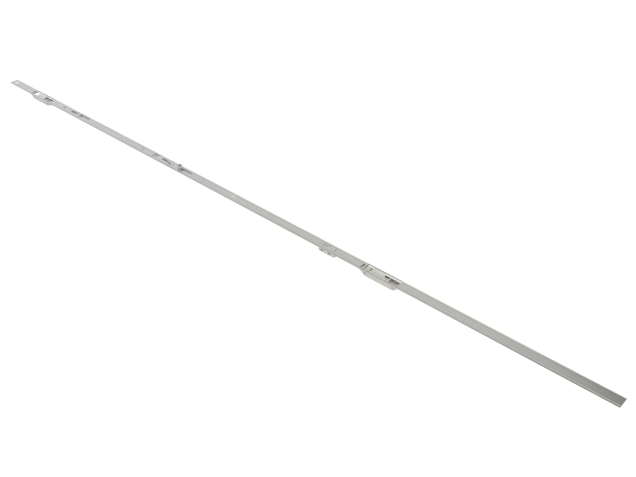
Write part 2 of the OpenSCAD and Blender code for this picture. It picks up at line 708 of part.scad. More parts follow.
module guide_screw() color("whitesmoke") difference() {
    union() {
        peg(screw_x, 0, under_z - under_t, deck_z, screw_d);
        sink(screw_x, deck_z, sink_d, screw_d, plate_t);
    }
    for (a = [45, 135]) translate([screw_x, 0, deck_z]) rotate([0, 0, a])
        cube([sink_d * 0.55, 1, plate_t], center = true);
}

module guide_nut() color("gray") difference() {
    translate([screw_x, 0, under_z - under_t]) cylinder(h = under_t, d = under_d, $fn = 6);
    peg(screw_x, 0, 0, deck_z, screw_d);
}

faceplate_near();
faceplate_far();
joint_strips();
case_a();
case_b();
rod_near();
rod_far();
coupling_saddle();
clamp_screw();
claw_a_block();
claw_a_outer_leaf();
claw_a_inner_leaf();
claw_a_rivets();
claw_b_block();
claw_b_outer_leaf();
claw_b_inner_leaf();
claw_b_rivets();
cam_stud();
cam_washer();
cam_roller();
guard_housing();
guard_lever();
guard_pin();
guard_spring();
housing_clip();
guide_bracket();
guide_rivets();
guide_screw();
guide_nut();
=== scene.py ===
"""Dress an espagnolette bar: faceplate, drive rod, claws in open cases, cam and guard lever.

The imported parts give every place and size. Each one gets broken edges and a plated finish here, and the
small turned, wound and bent pieces are modelled anew at their own places.
"""

import json
import logging
import math
from contextlib import contextmanager
from dataclasses import dataclass
from enum import Enum
from typing import Iterator

import bpy
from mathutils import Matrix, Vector

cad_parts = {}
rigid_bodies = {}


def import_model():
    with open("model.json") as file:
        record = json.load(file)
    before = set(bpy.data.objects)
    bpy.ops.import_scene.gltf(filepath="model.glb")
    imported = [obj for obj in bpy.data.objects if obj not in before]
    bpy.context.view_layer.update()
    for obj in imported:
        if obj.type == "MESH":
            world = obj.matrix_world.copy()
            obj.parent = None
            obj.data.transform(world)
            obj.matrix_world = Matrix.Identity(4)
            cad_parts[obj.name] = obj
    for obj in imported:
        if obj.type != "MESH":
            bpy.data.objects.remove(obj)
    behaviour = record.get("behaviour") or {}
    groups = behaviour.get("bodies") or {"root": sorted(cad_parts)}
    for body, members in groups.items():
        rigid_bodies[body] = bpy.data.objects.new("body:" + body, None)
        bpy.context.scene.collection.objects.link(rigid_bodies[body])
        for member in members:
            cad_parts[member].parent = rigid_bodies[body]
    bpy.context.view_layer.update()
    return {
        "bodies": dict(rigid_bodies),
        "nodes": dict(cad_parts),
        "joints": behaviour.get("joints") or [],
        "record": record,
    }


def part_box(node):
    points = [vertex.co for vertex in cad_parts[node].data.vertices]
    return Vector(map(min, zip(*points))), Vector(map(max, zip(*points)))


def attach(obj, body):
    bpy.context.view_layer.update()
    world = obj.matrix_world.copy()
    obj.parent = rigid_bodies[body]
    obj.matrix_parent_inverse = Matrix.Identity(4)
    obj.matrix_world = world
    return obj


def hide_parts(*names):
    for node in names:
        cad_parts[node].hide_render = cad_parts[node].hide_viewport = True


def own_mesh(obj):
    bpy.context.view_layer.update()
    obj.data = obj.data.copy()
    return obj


LOG = logging.getLogger("espagnolette")
MM = 0.001
MERGE = 0.001 * MM

Piece = bpy.types.Object
Socket = bpy.types.NodeSocket
Tree = bpy.types.NodeTree
Triple = tuple[float, float, float]
Colour = Triple
Marks = dict[str, Socket]
Profile = list[tuple[float, float]]
Waves = tuple[Triple, float, float]


class Slot(Enum):
    """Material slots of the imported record."""

    STRIP = "zinc_strip"
    ROD = "zinc_rod"
    CAST = "cast_zinc"
    BRIGHT = "bright_steel"
    SPRING = "spring_steel"
    CAM = "cam_steel"
    DARK = "dark_steel"


class NodeSheet:
    """One node tree with short calls to add and link its nodes."""

    def __init__(self, tree: Tree) -> None:
        """Start on an emptied tree.

        Args:
            tree: The node tree of a material, world or group.
        """
        self.tree = tree
        tree.nodes.clear()

    def add(self, kind: str, **settings: object) -> bpy.types.Node:
        """Add a node and set its properties.

        Args:
            kind: The node's type name without its ShaderNode prefix.
            settings: Properties of the node, by name.

        Returns:
            The new node.
        """
        prefix = "" if kind.startswith("NodeGroup") else "ShaderNode"
        node = self.tree.nodes.new(prefix + kind)
        for key, value in settings.items():
            setattr(node, key, value)
        return node

    def link(self, source: Socket, target: Socket) -> None:
        """Join an output to an input."""
        self.tree.links.new(source, target)

    def feed(self, value: object, target: Socket) -> None:
        """Give an input its value.

        Args:
            value: A socket to link, or a constant to set.
            target: The input.
        """
        if isinstance(value, Socket):
            self.link(value, target)
        else:
            target.default_value = value

    def use(self, group: Tree, **inputs: object) -> bpy.types.NodeOutputs:
        """Place a node group.

        Args:
            group: The group.
            inputs: A socket or a constant for each of its inputs, by name.

        Returns:
            The group's outputs, by name.
        """
        node = self.add("Group", node_tree=group)
        for name, value in inputs.items():
            self.feed(value, node.inputs[name])
        return node.outputs

    def math(self, operation: str, first: object, second: object = 0.0) -> Socket:
        """Add a Math node.

        Args:
            operation: The node's operation.
            first: A socket or a number.
            second: A socket or a number.

        Returns:
            The node's output.
        """
        node = self.add("Math", operation=operation)
        self.feed(first, node.inputs[0])
        self.feed(second, node.inputs[1])
        return node.outputs[0]

    def product(self, first: object, *others: object) -> Socket:
        """Multiply two or more values.

        Args:
            first: A socket or a number.
            others: More sockets or numbers.

        Returns:
            Their product.
        """
        result = first
        for other in others:
            result = self.math("MULTIPLY", result, other)
        return result

    def parts(self, vector: Socket) -> bpy.types.NodeOutputs:
        """Take a vector apart.

        Args:
            vector: The vector.

        Returns:
            The sockets X, Y and Z, by name.
        """
        node = self.add("SeparateXYZ")
        self.link(vector, node.inputs["Vector"])
        return node.outputs

    def noise(self, vector: Socket, scale: Triple, detail: float, roughness: float = 0.5) -> Socket:
        """Add noise that is stretched by a scale of its own along each axis.

        Args:
            vector: Coordinates in metres.
            scale: Waves for each metre along X, Y and Z.
            detail: Octaves of finer noise.
            roughness: Strength of the finer octaves.

        Returns:
            The noise as a value around 0.5.
        """
        mapping = self.add("Mapping")
        mapping.inputs["Scale"].default_value = scale
        self.link(vector, mapping.inputs["Vector"])
        noise = self.add("TexNoise")
        noise.inputs["Scale"].default_value = 1.0
        noise.inputs["Detail"].default_value = detail
        noise.inputs["Roughness"].default_value = roughness
        self.link(mapping.outputs["Vector"], noise.inputs["Vector"])
        return noise.outputs["Fac"]

    def spread(self, value: Socket, low: float, high: float, to_low: float = 0.0,
               to_high: float = 1.0) -> Socket:
        """Map a value from one range to another, clamped at both ends.

        Args:
            value: The value to map.
            low: Its lower bound.
            high: Its upper bound.
            to_low: What the lower bound becomes.
            to_high: What the upper bound becomes.

        Returns:
            The mapped value.
        """
        node = self.add("MapRange")
        self.link(value, node.inputs["Value"])
        for name, number in (("From Min", low), ("From Max", high), ("To Min", to_low), ("To Max", to_high)):
            node.inputs[name].default_value = number
        return node.outputs["Result"]

    def blend(self, factor: Socket, first: Socket, second: Colour, mode: str = "MIX") -> Socket:
        """Mix a constant colour into another.

        Args:
            factor: How much of the constant colour shows.
            first: The colour to change.
            second: The constant colour.
            mode: The blend mode.

        Returns:
            The mixed colour.
        """
        node = self.add("Mix", data_type="RGBA", blend_type=mode)
        self.link(factor, node.inputs["Factor"])
        self.link(first, node.inputs[6])
        node.inputs[7].default_value = (*second, 1.0)
        return node.outputs[2]


class GroupSheet(NodeSheet):
    """The sheet of a new node group, with what the group is given and what it puts out, by name."""

    KINDS = {"Vector": "NodeSocketVector", "Color": "NodeSocketColor"}

    def __init__(self, name: str, given: tuple[str, ...] = ("Vector", "Amount"),
                 out: tuple[str, ...] = ("Mask",)) -> None:
        """Start a group.

        Args:
            name: The group's name.
            given: Names of its inputs.
            out: Names of its outputs.
        """
        super().__init__(bpy.data.node_groups.new(name, "ShaderNodeTree"))
        for in_out, keys in (("INPUT", given), ("OUTPUT", out)):
            for key in keys:
                kind = self.KINDS.get(key, "NodeSocketFloat")
                self.tree.interface.new_socket(key, in_out=in_out, socket_type=kind)
        self.given = self.add("NodeGroupInput").outputs
        self.out = self.add("NodeGroupOutput").inputs

    def masked(self, *values: object) -> Tree:
        """Finish a group whose mask is the product of some values and the group's amount.

        Args:
            values: What the mask is made of.

        Returns:
            The finished group.
        """
        self.link(self.product(*values, self.given["Amount"]), self.out["Mask"])
        return self.tree


class EffectGroups:
    """Surface effects that several finishes share, each built once as a node group.

    Noise scales are in waves for each metre, and places are in metres.
    """

    RUBBED_GLINT_WIDTH = 0.35 * MM
    # Bands across the strip for its painted edge highlight and the painted shade line inside it.
    HIGHLIGHT_LINE_FROM = (5.2 * MM, 5.9 * MM)
    SHADE_LINE_FROM = (3.4 * MM, 4.1 * MM)
    SHADE_LINE_TO = (5.4 * MM, 4.9 * MM)
    SHADE_LINE_SHARE = 0.45
    PAST_HOLES = (2.3 * MM, 2.45 * MM)
    WITHIN_SIDES = (7.6 * MM, 7.3 * MM)
    TORN_BELOW = (8.3 * MM, 8.0 * MM)
    TORN_RAGGED = 0.6 * MM
    RECESS_REACH = 3.0 * MM

    def __init__(self) -> None:
        """Build every group."""
        self.rolled = self._rolled_grain()
        self.tint = self._plate_tint()
        self.drift = self._colour_drift()
        self.cast = self._cast_skin()
        self.scratch = self._handling_scratches()
        self.rubbed_and_glint = self._rubbed_and_glint_edges()
        self.edge_highlight = self._painted_edge_highlight()
        self.punched = self._punched_faces()
        self.recess = self._recess_shade()

    @staticmethod
    def _relief(name: str, waves: tuple[Waves, Waves], shares: tuple[float, float]) -> Tree:
        """Build a surface that two layers of noise shade and raise.

        Args:
            name: The group's name.
            waves: Scale, detail and roughness of each layer.
            shares: How much of each layer shows.

        Returns:
            The finished group, with a tone around zero and a height.
        """
        sheet = GroupSheet(name, out=("Tone", "Height"))
        layers = [sheet.product(sheet.noise(sheet.given["Vector"], *wave), share)
                  for wave, share in zip(waves, shares)]
        height = sheet.math("ADD", *layers)
        around_zero = sheet.math("SUBTRACT", height, 0.5)
        for output, value in (("Tone", around_zero), ("Height", height)):
            sheet.link(sheet.product(value, sheet.given["Amount"]), sheet.out[output])
        return sheet.tree

    def _rolled_grain(self) -> Tree:
        """Build the fine lengthwise lines that rolling leaves on strip.

        Returns:
            The group.
        """
        broad, fine = ((5.0, 900.0, 900.0), 3.0, 0.6), ((22.0, 5200.0, 5200.0), 2.0, 0.5)
        return self._relief("RolledGrain", (broad, fine), (0.6, 0.4))

    def _cast_skin(self) -> Tree:
        """Build the softly pitted skin of a die casting.

        Returns:
            The group.
        """
        swells, pits = ((420.0, 420.0, 420.0), 2.0, 0.5), ((3100.0, 3100.0, 3100.0), 2.0, 0.5)
        return self._relief("CastSkin", (swells, pits), (0.65, 0.35))

    def _plate_tint(self) -> Tree:
        """Build the faint green and rose cast of passivated zinc plate.

        Returns:
            The group.
        """
        sheet = GroupSheet("PlateTint", ("Vector", "Amount", "Color"), ("Color",))
        clouds = sheet.noise(sheet.given["Vector"], (11.0, 26.0, 26.0), 3.0, 0.55)
        tinted = sheet.given["Color"]
        for cloud_edge, tint in ((0.66, (0.88, 1.0, 0.86)), (0.34, (1.0, 0.93, 0.92))):
            mask = sheet.product(sheet.spread(clouds, 0.5, cloud_edge), sheet.given["Amount"])
            tinted = sheet.blend(mask, tinted, tint, "MULTIPLY")
        sheet.link(tinted, sheet.out["Color"])
        return sheet.tree

    def _colour_drift(self) -> Tree:
        """Build the slow change of the plating along the bar, from neutral to straw to a trace of green.

        Returns:
            The group.
        """
        sheet = GroupSheet("ColourDrift", ("Vector", "Color"), ("Color",))
        along = sheet.parts(sheet.given["Vector"])["X"]
        drifted = sheet.given["Color"]
        for start, end, tint in ((-0.12, 0.2, (1.0, 0.99, 0.93)), (0.42, 0.56, (0.96, 1.0, 0.99))):
            drifted = sheet.blend(sheet.spread(along, start, end), drifted, tint, "MULTIPLY")
        sheet.link(drifted, sheet.out["Color"])
        return sheet.tree

    def _handling_scratches(self) -> Tree:
        """Build thin stray scratches, most of them along the bar.

        Returns:
            The group.
        """
        sheet = GroupSheet("HandlingScratches")
        scratches = 0.0
        for turn, along, across in ((4.0, 30.0, 2600.0), (-9.0, 45.0, 3400.0), (31.0, 70.0, 3900.0)):
            mapping = sheet.add("Mapping")
            mapping.inputs["Rotation"].default_value = (0.0, 0.0, math.radians(turn))
            sheet.link(sheet.given["Vector"], mapping.inputs["Vector"])
            lines = sheet.noise(mapping.outputs["Vector"], (along, across, 60.0), 0.0)
            scratches = sheet.math("MAXIMUM", scratches, sheet.spread(lines, 0.75, 0.79))
        return sheet.masked(scratches)

    def _rubbed_and_glint_edges(self) -> Tree:
        """Build the light line along an edge, rubbed by handling and lightened further as a painted glint.

        Returns:
            The group.
        """
        sheet = GroupSheet("RubbedAndGlintEdges")
        rounded = sheet.add("Bevel", samples=4)
        rounded.inputs["Radius"].default_value = self.RUBBED_GLINT_WIDTH
        facing = sheet.add("VectorMath", operation="DOT_PRODUCT")
        sheet.link(rounded.outputs["Normal"], facing.inputs[0])
        sheet.link(sheet.add("NewGeometry").outputs["Normal"], facing.inputs[1])
        edge = sheet.spread(facing.outputs["Value"], 0.995, 0.9)
        breaks = sheet.spread(sheet.noise(sheet.given["Vector"], (260.0, 260.0, 260.0), 3.0), 0.38, 0.6)
        return sheet.masked(edge, breaks)

    def _painted_edge_highlight(self) -> Tree:
        """Build a painted highlight along the strip's edge on the open side, with a painted shade line
        inside it.

        Returns:
            The group.
        """
        sheet = GroupSheet("PaintedEdgeHighlight")
        across = sheet.parts(sheet.given["Vector"])["Y"]
        highlight_breaks = sheet.noise(sheet.given["Vector"], (45.0, 400.0, 400.0), 3.0)
        light = sheet.product(sheet.spread(across, *self.HIGHLIGHT_LINE_FROM),
                              sheet.spread(highlight_breaks, 0.3, 0.6, 0.6, 1.0))
        inner = sheet.product(sheet.spread(across, *self.SHADE_LINE_FROM),
                              sheet.spread(across, *self.SHADE_LINE_TO))
        lines = sheet.math("SUBTRACT", light, sheet.product(inner, self.SHADE_LINE_SHARE))
        normal = sheet.parts(sheet.add("NewGeometry").outputs["Normal"])
        on_top = sheet.spread(normal["Z"], 0.5, 0.9)
        return sheet.masked(lines, on_top)

    def _punched_faces(self) -> Tree:
        """Build the torn lower part of the long faces that punching leaves inside windows and slots; the
        finish roughens it, makes it matte and lightens it with painted light.

        Returns:
            The group.
        """
        sheet = GroupSheet("PunchedFaces")
        place = sheet.parts(sheet.given["Vector"])
        normal = sheet.parts(sheet.add("NewGeometry").outputs["Normal"])
        upright = sheet.spread(sheet.math("ABSOLUTE", normal["Y"]), 0.5, 0.8)
        across = sheet.math("ABSOLUTE", place["Y"])
        past_holes = sheet.spread(across, *self.PAST_HOLES)
        within_sides = sheet.spread(across, *self.WITHIN_SIDES)
        ragged = sheet.noise(sheet.given["Vector"], (1500.0, 1500.0, 300.0), 2.0)
        line = sheet.math("ADD", place["Z"], sheet.product(ragged, self.TORN_RAGGED))
        torn = sheet.spread(line, *self.TORN_BELOW, 0.45, 1.0)
        return sheet.masked(upright, past_holes, within_sides, torn)

    def _recess_shade(self) -> Tree:
        """Build the painted shade that darkens narrow slots, gaps and hole bottoms of one piece, where its
        own faces close in.

        Returns:
            The group.
        """
        sheet = GroupSheet("RecessShade")
        reach = sheet.add("AmbientOcclusion", samples=8, only_local=True)
        reach.inputs["Distance"].default_value = self.RECESS_REACH
        closed = sheet.spread(reach.outputs["AO"], 0.8, 0.5)
        patches = sheet.noise(sheet.given["Vector"], (600.0, 600.0, 600.0), 2.0)
        return sheet.masked(closed, sheet.spread(patches, 0.3, 0.6, 0.7, 1.0))


@dataclass(frozen=True)
class PlatedFinish:
    """A plated metal finish: its colour, and how strongly each effect marks it, painted highlight and
    painted shade among them.
    """

    slot: Slot
    tone: Colour
    roughness: float
    rolled: float = 0.0
    cast: float = 0.0
    tint: float = 0.0
    scratches: float = 0.3
    rubbed_and_glint: float = 0.5
    edge_highlight: float = 0.0
    punched: float = 0.0
    recess: float = 0.5
    depth: float = 0.03 * MM

    WORN_AND_LIT_GAIN = 1.22
    TONE_IN_COLOUR = 0.5
    TONE_IN_ROUGHNESS = 0.35
    RUBBED_POLISH = 0.12
    SCRATCH_DEPTH = 0.4
    RELIEF = 0.6
    # How far torn faces are lightened, as painted light.
    TORN_PAINTED_LIGHT = 0.6
    TORN_ROUGHER = 0.35
    TORN_MATTE = 0.8
    # Near-black of the painted shade in recesses.
    RECESS_SHADE_COLOUR = (0.1, 0.1, 0.095)

    def make(self, groups: EffectGroups) -> bpy.types.Material:
        """Build the material.

        Args:
            groups: The shared effects.

        Returns:
            The new material, named after its slot.
        """
        material = bpy.data.materials.new(self.slot.value)
        material.use_nodes = True
        sheet = NodeSheet(material.node_tree)
        place = sheet.add("TexCoord").outputs["Object"]
        marks = self._marks(sheet, groups, place)
        shader = sheet.add("BsdfPrincipled")
        shader.inputs["Metallic"].default_value = 1.0
        if self.punched:
            matte = sheet.product(marks["torn"], self.TORN_MATTE)
            sheet.link(sheet.math("SUBTRACT", 1.0, matte), shader.inputs["Metallic"])
        sheet.link(self._colour(sheet, groups, place, marks), shader.inputs["Base Color"])
        sheet.link(self._roughness(sheet, marks), shader.inputs["Roughness"])
        sheet.link(self._normal(sheet, marks), shader.inputs["Normal"])
        sheet.link(shader.outputs["BSDF"], sheet.add("OutputMaterial").inputs["Surface"])
        return material

    def _marks(self, sheet: NodeSheet, groups: EffectGroups, place: Socket) -> Marks:
        """Place the shared effects at this finish's strengths.

        Args:
            sheet: The material's sheet.
            groups: The shared effects.
            place: Coordinates in metres.

        Returns:
            The grain and height of the surface and the mask of each kind of mark, by name.
        """
        rolled = sheet.use(groups.rolled, Vector=place, Amount=self.rolled)
        cast = sheet.use(groups.cast, Vector=place, Amount=self.cast)
        masks = {
            "scratch": (groups.scratch, self.scratches),
            "rubbed_and_glint": (groups.rubbed_and_glint, self.rubbed_and_glint),
            "edge_highlight": (groups.edge_highlight, self.edge_highlight),
            "recess": (groups.recess, self.recess),
            "punched": (groups.punched, self.punched),
        }
        marks = {name: sheet.use(group, Vector=place, Amount=amount)["Mask"]
                 for name, (group, amount) in masks.items()}
        marks["torn"] = sheet.product(marks["punched"], sheet.math("SUBTRACT", 1.0, marks["recess"]))
        marks["grain"] = sheet.math("ADD", rolled["Tone"], cast["Tone"])
        marks["height"] = sheet.math("ADD", rolled["Height"], cast["Height"])
        return marks

    def _colour(self, sheet: NodeSheet, groups: EffectGroups, place: Socket, marks: Marks) -> Socket:
        """Shade the plating's colour by its grain and a painted edge highlight, lighten it where it is worn,
        with a painted glint on rubbed edges and painted light on torn faces, and darken its recesses with
        painted shade.

        Args:
            sheet: The material's sheet.
            groups: The shared effects.
            place: Coordinates in metres.
            marks: The surface's grain and marks, by name.

        Returns:
            The colour.
        """
        drift = sheet.use(groups.drift, Vector=place, Color=(*self.tone, 1.0))
        tint = sheet.use(groups.tint, Vector=place, Amount=self.tint, Color=drift["Color"])
        # The painted edge highlight and its shade line change the tone together with the grain.
        change = sheet.product(sheet.math("ADD", marks["grain"], marks["edge_highlight"]), self.TONE_IN_COLOUR)
        shaded = sheet.add("VectorMath", operation="SCALE")
        sheet.link(tint["Color"], shaded.inputs["Vector"])
        sheet.link(sheet.math("ADD", change, 1.0), shaded.inputs["Scale"])
        colour = shaded.outputs["Vector"]
        # The lightened colour: real wear for scratches, wear with a painted glint on edges, and painted
        # light on torn faces.
        bright = tuple(min(1.0, value * self.WORN_AND_LIT_GAIN) for value in self.tone)
        for mask in (marks["rubbed_and_glint"], marks["scratch"], sheet.product(marks["torn"], self.TORN_PAINTED_LIGHT)):
            colour = sheet.blend(mask, colour, bright)
        # Painted shade: the recess mask darkens the colour towards near-black.
        return sheet.blend(marks["recess"], colour, self.RECESS_SHADE_COLOUR)

    def _roughness(self, sheet: NodeSheet, marks: Marks) -> Socket:
        """Vary the roughness with the grain, polish what is rubbed and dull what is torn.

        Args:
            sheet: The material's sheet.
            marks: The surface's grain and marks, by name.

        Returns:
            The roughness.
        """
        rough = sheet.math("ADD", sheet.product(marks["grain"], self.TONE_IN_ROUGHNESS), self.roughness)
        rough = sheet.math("SUBTRACT", rough, sheet.product(marks["rubbed_and_glint"], self.RUBBED_POLISH))
        return sheet.math("ADD", rough, sheet.product(marks["torn"], self.TORN_ROUGHER))

    def _normal(self, sheet: NodeSheet, marks: Marks) -> Socket:
        """Raise the grain and sink the scratches.

        Args:
            sheet: The material's sheet.
            marks: The surface's grain and marks, by name.

        Returns:
            The bumped normal.
        """
        height = sheet.math("SUBTRACT", marks["height"], sheet.product(marks["scratch"], self.SCRATCH_DEPTH))
        bump = sheet.add("Bump")
        bump.inputs["Strength"].default_value = self.RELIEF
        bump.inputs["Distance"].default_value = self.depth
        sheet.link(height, bump.inputs["Height"])
        return bump.outputs["Normal"]


FINISHES = (
    PlatedFinish(Slot.STRIP, (0.65, 0.65, 0.65), 0.27, rolled=0.7, tint=0.3, scratches=0.3, rubbed_and_glint=0.6,
                 edge_highlight=0.8, punched=1.0, recess=0.8, depth=0.01 * MM),
    PlatedFinish(Slot.ROD, (0.86, 0.86, 0.85), 0.42, rolled=0.7, tint=0.3, scratches=0.4, rubbed_and_glint=0.4,
                 recess=0.25),
    PlatedFinish(Slot.CAST, (0.75, 0.75, 0.74), 0.42, cast=0.7, tint=0.2, scratches=0.15, rubbed_and_glint=0.6),
    PlatedFinish(Slot.BRIGHT, (0.8, 0.8, 0.8), 0.3, rolled=0.4, tint=0.15, scratches=0.3, rubbed_and_glint=0.7,
                 recess=0.35),
    PlatedFinish(Slot.SPRING, (0.95, 0.95, 0.94), 0.35, rolled=0.2, scratches=0.1, rubbed_and_glint=0.2),
    PlatedFinish(Slot.CAM, (0.5, 0.5, 0.5), 0.3, rolled=0.3, scratches=0.2, rubbed_and_glint=0.8),
    PlatedFinish(Slot.DARK, (0.16, 0.16, 0.16), 0.35, rolled=0.3, scratches=0.2, rubbed_and_glint=0.6),
)


def pick(piece: Piece) -> None:
    """Make one object the only one selected, and active."""
    bpy.ops.object.select_all(action="DESELECT")
    piece.select_set(True)
    bpy.context.view_layer.objects.active = piece


@contextmanager
def editing(piece: Piece) -> Iterator[None]:
    """Open an object in edit mode with everything selected, and leave edit mode after.

    Args:
        piece: The mesh object to edit.
    """
    pick(piece)
    bpy.ops.object.mode_set(mode="EDIT")
    bpy.ops.mesh.select_all(action="SELECT")
    yield
    bpy.ops.object.mode_set(mode="OBJECT")


def apply_modifier(piece: Piece, kind: str, **settings: object) -> None:
    """Add a modifier, set it and apply it.

    Args:
        piece: The object that gets it.
        kind: The modifier's type.
        settings: Its properties, by name.
    """
    pick(piece)
    modifier = piece.modifiers.new(kind.title(), kind)
    for key, value in settings.items():
        setattr(modifier, key, value)
    bpy.ops.object.modifier_apply(modifier=modifier.name)


def smooth(piece: Piece, angle: float) -> None:
    """Shade a piece smooth, apart from its sharp edges.

    Args:
        piece: The mesh object.
        angle: Edges that turn by more degrees than this stay sharp.
    """
    pick(piece)
    bpy.ops.object.shade_smooth_by_angle(angle=math.radians(angle))


def break_edges(piece: Piece, width: float, segments: int = 2, angle: float = 32.0) -> None:
    """Round off every sharp edge, with the flat faces shaded flat and the roundings smooth.

    Args:
        piece: The mesh object.
        width: Width of the rounding in metres.
        segments: Faces across the rounding.
        angle: Edges that turn by more degrees than this are rounded.
    """
    apply_modifier(piece, "BEVEL", width=width, segments=segments, limit_method="ANGLE",
                   angle_limit=math.radians(angle), use_clamp_overlap=True, loop_slide=False)
    smooth(piece, angle)
    apply_modifier(piece, "WEIGHTED_NORMAL", mode="FACE_AREA", weight=100, keep_sharp=True)


def settle(piece: Piece, place: Triple, turn: Triple = (0.0, 0.0, 0.0)) -> None:
    """Move and turn a piece, then fold its place into its mesh.

    Args:
        piece: The object, modelled about the origin.
        place: Where its origin goes, in metres.
        turn: Turn about X, Y and Z in degrees.
    """
    pick(piece)
    piece.rotation_euler = [math.radians(value) for value in turn]
    piece.location = place
    bpy.ops.object.transform_apply(location=True, rotation=True, scale=True)


def turned(name: str, profile: Profile, ring: bool = False, sides: int = 64) -> Piece:
    """Model a turned piece about Z, as on a lathe, by extruding one circle along its profile.

    Args:
        name: Name of the object.
        profile: Radius and height of each step, in millimetres, upwards.
        ring: Whether the profile runs round a hole and ends where it began.
        sides: Faces around the piece.

    Returns:
        The new object at the origin.
    """
    radius, height = profile[0]
    bpy.ops.mesh.primitive_circle_add(vertices=sides, radius=radius * MM, location=(0.0, 0.0, 0.0),
                                      fill_type="NOTHING" if ring else "NGON")
    piece = bpy.context.object
    piece.name = name
    piece.data.name = name
    with editing(piece):
        bpy.ops.transform.translate(value=(0.0, 0.0, height * MM))
        for next_radius, next_height in profile[1:]:
            step = {"value": (0.0, 0.0, (next_height - height) * MM)}
            if ring:
                bpy.ops.mesh.extrude_edges_move(TRANSFORM_OT_translate=step)
            else:
                bpy.ops.mesh.extrude_region_move(TRANSFORM_OT_translate=step)
            size = next_radius / radius
            bpy.ops.transform.resize(value=(size, size, 1.0), center_override=(0.0, 0.0, next_height * MM))
            radius, height = next_radius, next_height
        bpy.ops.mesh.select_all(action="SELECT")
        bpy.ops.mesh.remove_doubles(threshold=MERGE / 2)
        bpy.ops.mesh.normals_make_consistent(inside=False)
    return piece


def rounding(radius: float, centre: tuple[float, float], start: float, end: float, steps: int) -> Profile:
    """Give the points of a round stretch of a profile.

    Args:
        radius: Radius of the stretch.
        centre: Its centre, as radius and height.
        start: Angle of its first point in degrees.
        end: Angle of its last point in degrees.
        steps: Faces along it.

    Returns:
        Points from start to end.
    """
    angles = [math.radians(start + (end - start) * step / steps) for step in range(steps + 1)]
    return [(centre[0] + radius * math.cos(angle), centre[1] + radius * math.sin(angle)) for angle in angles]


def cut_out(piece: Piece, tool: Piece) -> None:
    """Cut one object's shape out of another and delete the tool.

    Args:
        piece: The object that is cut.
        tool: The closed shape to take away.
    """
    apply_modifier(piece, "BOOLEAN", object=tool, operation="DIFFERENCE", solver="EXACT")
    bpy.data.objects.remove(tool, do_unlink=True)


def joined(name: str, pieces: list[Piece]) -> Piece:
    """Join several objects into one.

    Args:
        name: Name of the result.
        pieces: The objects, which all become part of the first.

    Returns:
        The joined object.
    """
    pick(pieces[0])
    for piece in pieces[1:]:
        piece.select_set(True)
    bpy.ops.object.join()
    whole = bpy.context.object
    whole.name = name
    whole.data.name = name
    return whole


class Workshop:
    """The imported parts, the finishes, and the calls that put a finished piece on its body."""

    def __init__(self, frame: dict) -> None:
        """Make the finishes and note which body carries each node.
        """
        self.nodes = frame["nodes"]
        record = frame["record"]
        bodies = record["behaviour"]["bodies"]
        self.body_of = {node: body for body, nodes in bodies.items() for node in nodes}
        self.slot_of = {part["node"]: Slot(part["material_slot"]) for part in record["subparts"]}
        groups = EffectGroups()
        self.materials = {finish.slot: finish.make(groups) for finish in FINISHES}

    def place(self, piece: Piece, node: str, slot: Slot | None = None) -> None:
        """Let a piece stand for a node, on its body and in its finish.

        Args:
            piece: The finished object.
            node: The node that it stands for.
            slot: Its finish, where that isn't the node's own.
        """
        slot = slot or self.slot_of[node]
        piece.data.materials.clear()
        piece.data.materials.append(self.materials[slot])
        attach(piece, self.body_of[node])
        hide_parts(node)
        LOG.info("%s: %d faces", piece.name, len(piece.data.polygons))

    def blank(self, node: str) -> Piece:
        """Copy a node's solid as a merged mesh with its flat faces whole.

        Args:
            node: The node to copy.

        Returns:
            The copy, ready to be worked on.
        """
        name = node + "_finished"
        piece = bpy.data.objects.new(name, self.nodes[node].data.copy())
        piece.data.name = name
        bpy.context.scene.collection.objects.link(piece)
        with editing(piece):
            bpy.ops.mesh.remove_doubles(threshold=MERGE)
            bpy.ops.mesh.tris_convert_to_quads(face_threshold=math.radians(0.3),
                                               shape_threshold=math.radians(180.0))
        return piece

    def solids_of(self, node: str) -> list[tuple[Vector, Vector]]:
        """Find the box of each separate solid of a node.

        Args:
            node: A node of several alike solids.

        Returns:
            Lowest and highest corner of each solid, in millimetres, from low to high X.
        """
        whole = self.blank(node)
        with editing(whole):
            bpy.ops.mesh.separate(type="LOOSE")
        boxes = []
        for part in list(bpy.context.selected_objects):
            places = [corner.co / MM for corner in part.data.vertices]
            low = Vector(min(place[axis] for place in places) for axis in range(3))
            high = Vector(max(place[axis] for place in places) for axis in range(3))
            boxes.append((low, high))
            bpy.data.objects.remove(part, do_unlink=True)
        return sorted(boxes, key=lambda box: box[0].x)

    def dress(self, node: str, edge: float, segments: int = 2) -> None:
        """Finish a copy of a node with broken edges.

        Args:
            node: The node to stand for.
            edge: Width of its broken edges in millimetres.
            segments: Faces across them.
        """
        piece = self.blank(node)
        break_edges(piece, edge * MM, segments)
        self.place(piece, node)


@dataclass
class Faceplates:
    """The two lengths of faceplate and the strips that line them up, with sizes in millimetres."""

    shop: Workshop
    edge: float = 0.22
    strip_edge: float = 0.12

    def build(self) -> None:
        """Dress both lengths and the strips."""
        for node in ("faceplate_near", "faceplate_far"):
            self.shop.dress(node, self.edge)
        self.shop.dress("joint_strips", self.strip_edge)


@dataclass
class DriveRod:
    """The two lengths of rod, the toothed plate and the screw, with sizes in millimetres."""

    shop: Workshop
    edge: float = 0.18
    tooth_edge: float = 0.15
    screw_edge: float = 0.12

    def build(self) -> None:
        """Dress the rods, the toothed plate and the clamp screw."""
        for node in ("rod_near", "rod_far"):
            self.shop.dress(node, self.edge)
        self.shop.dress("coupling_saddle", self.tooth_edge)
        self.shop.dress("clamp_screw", self.screw_edge)


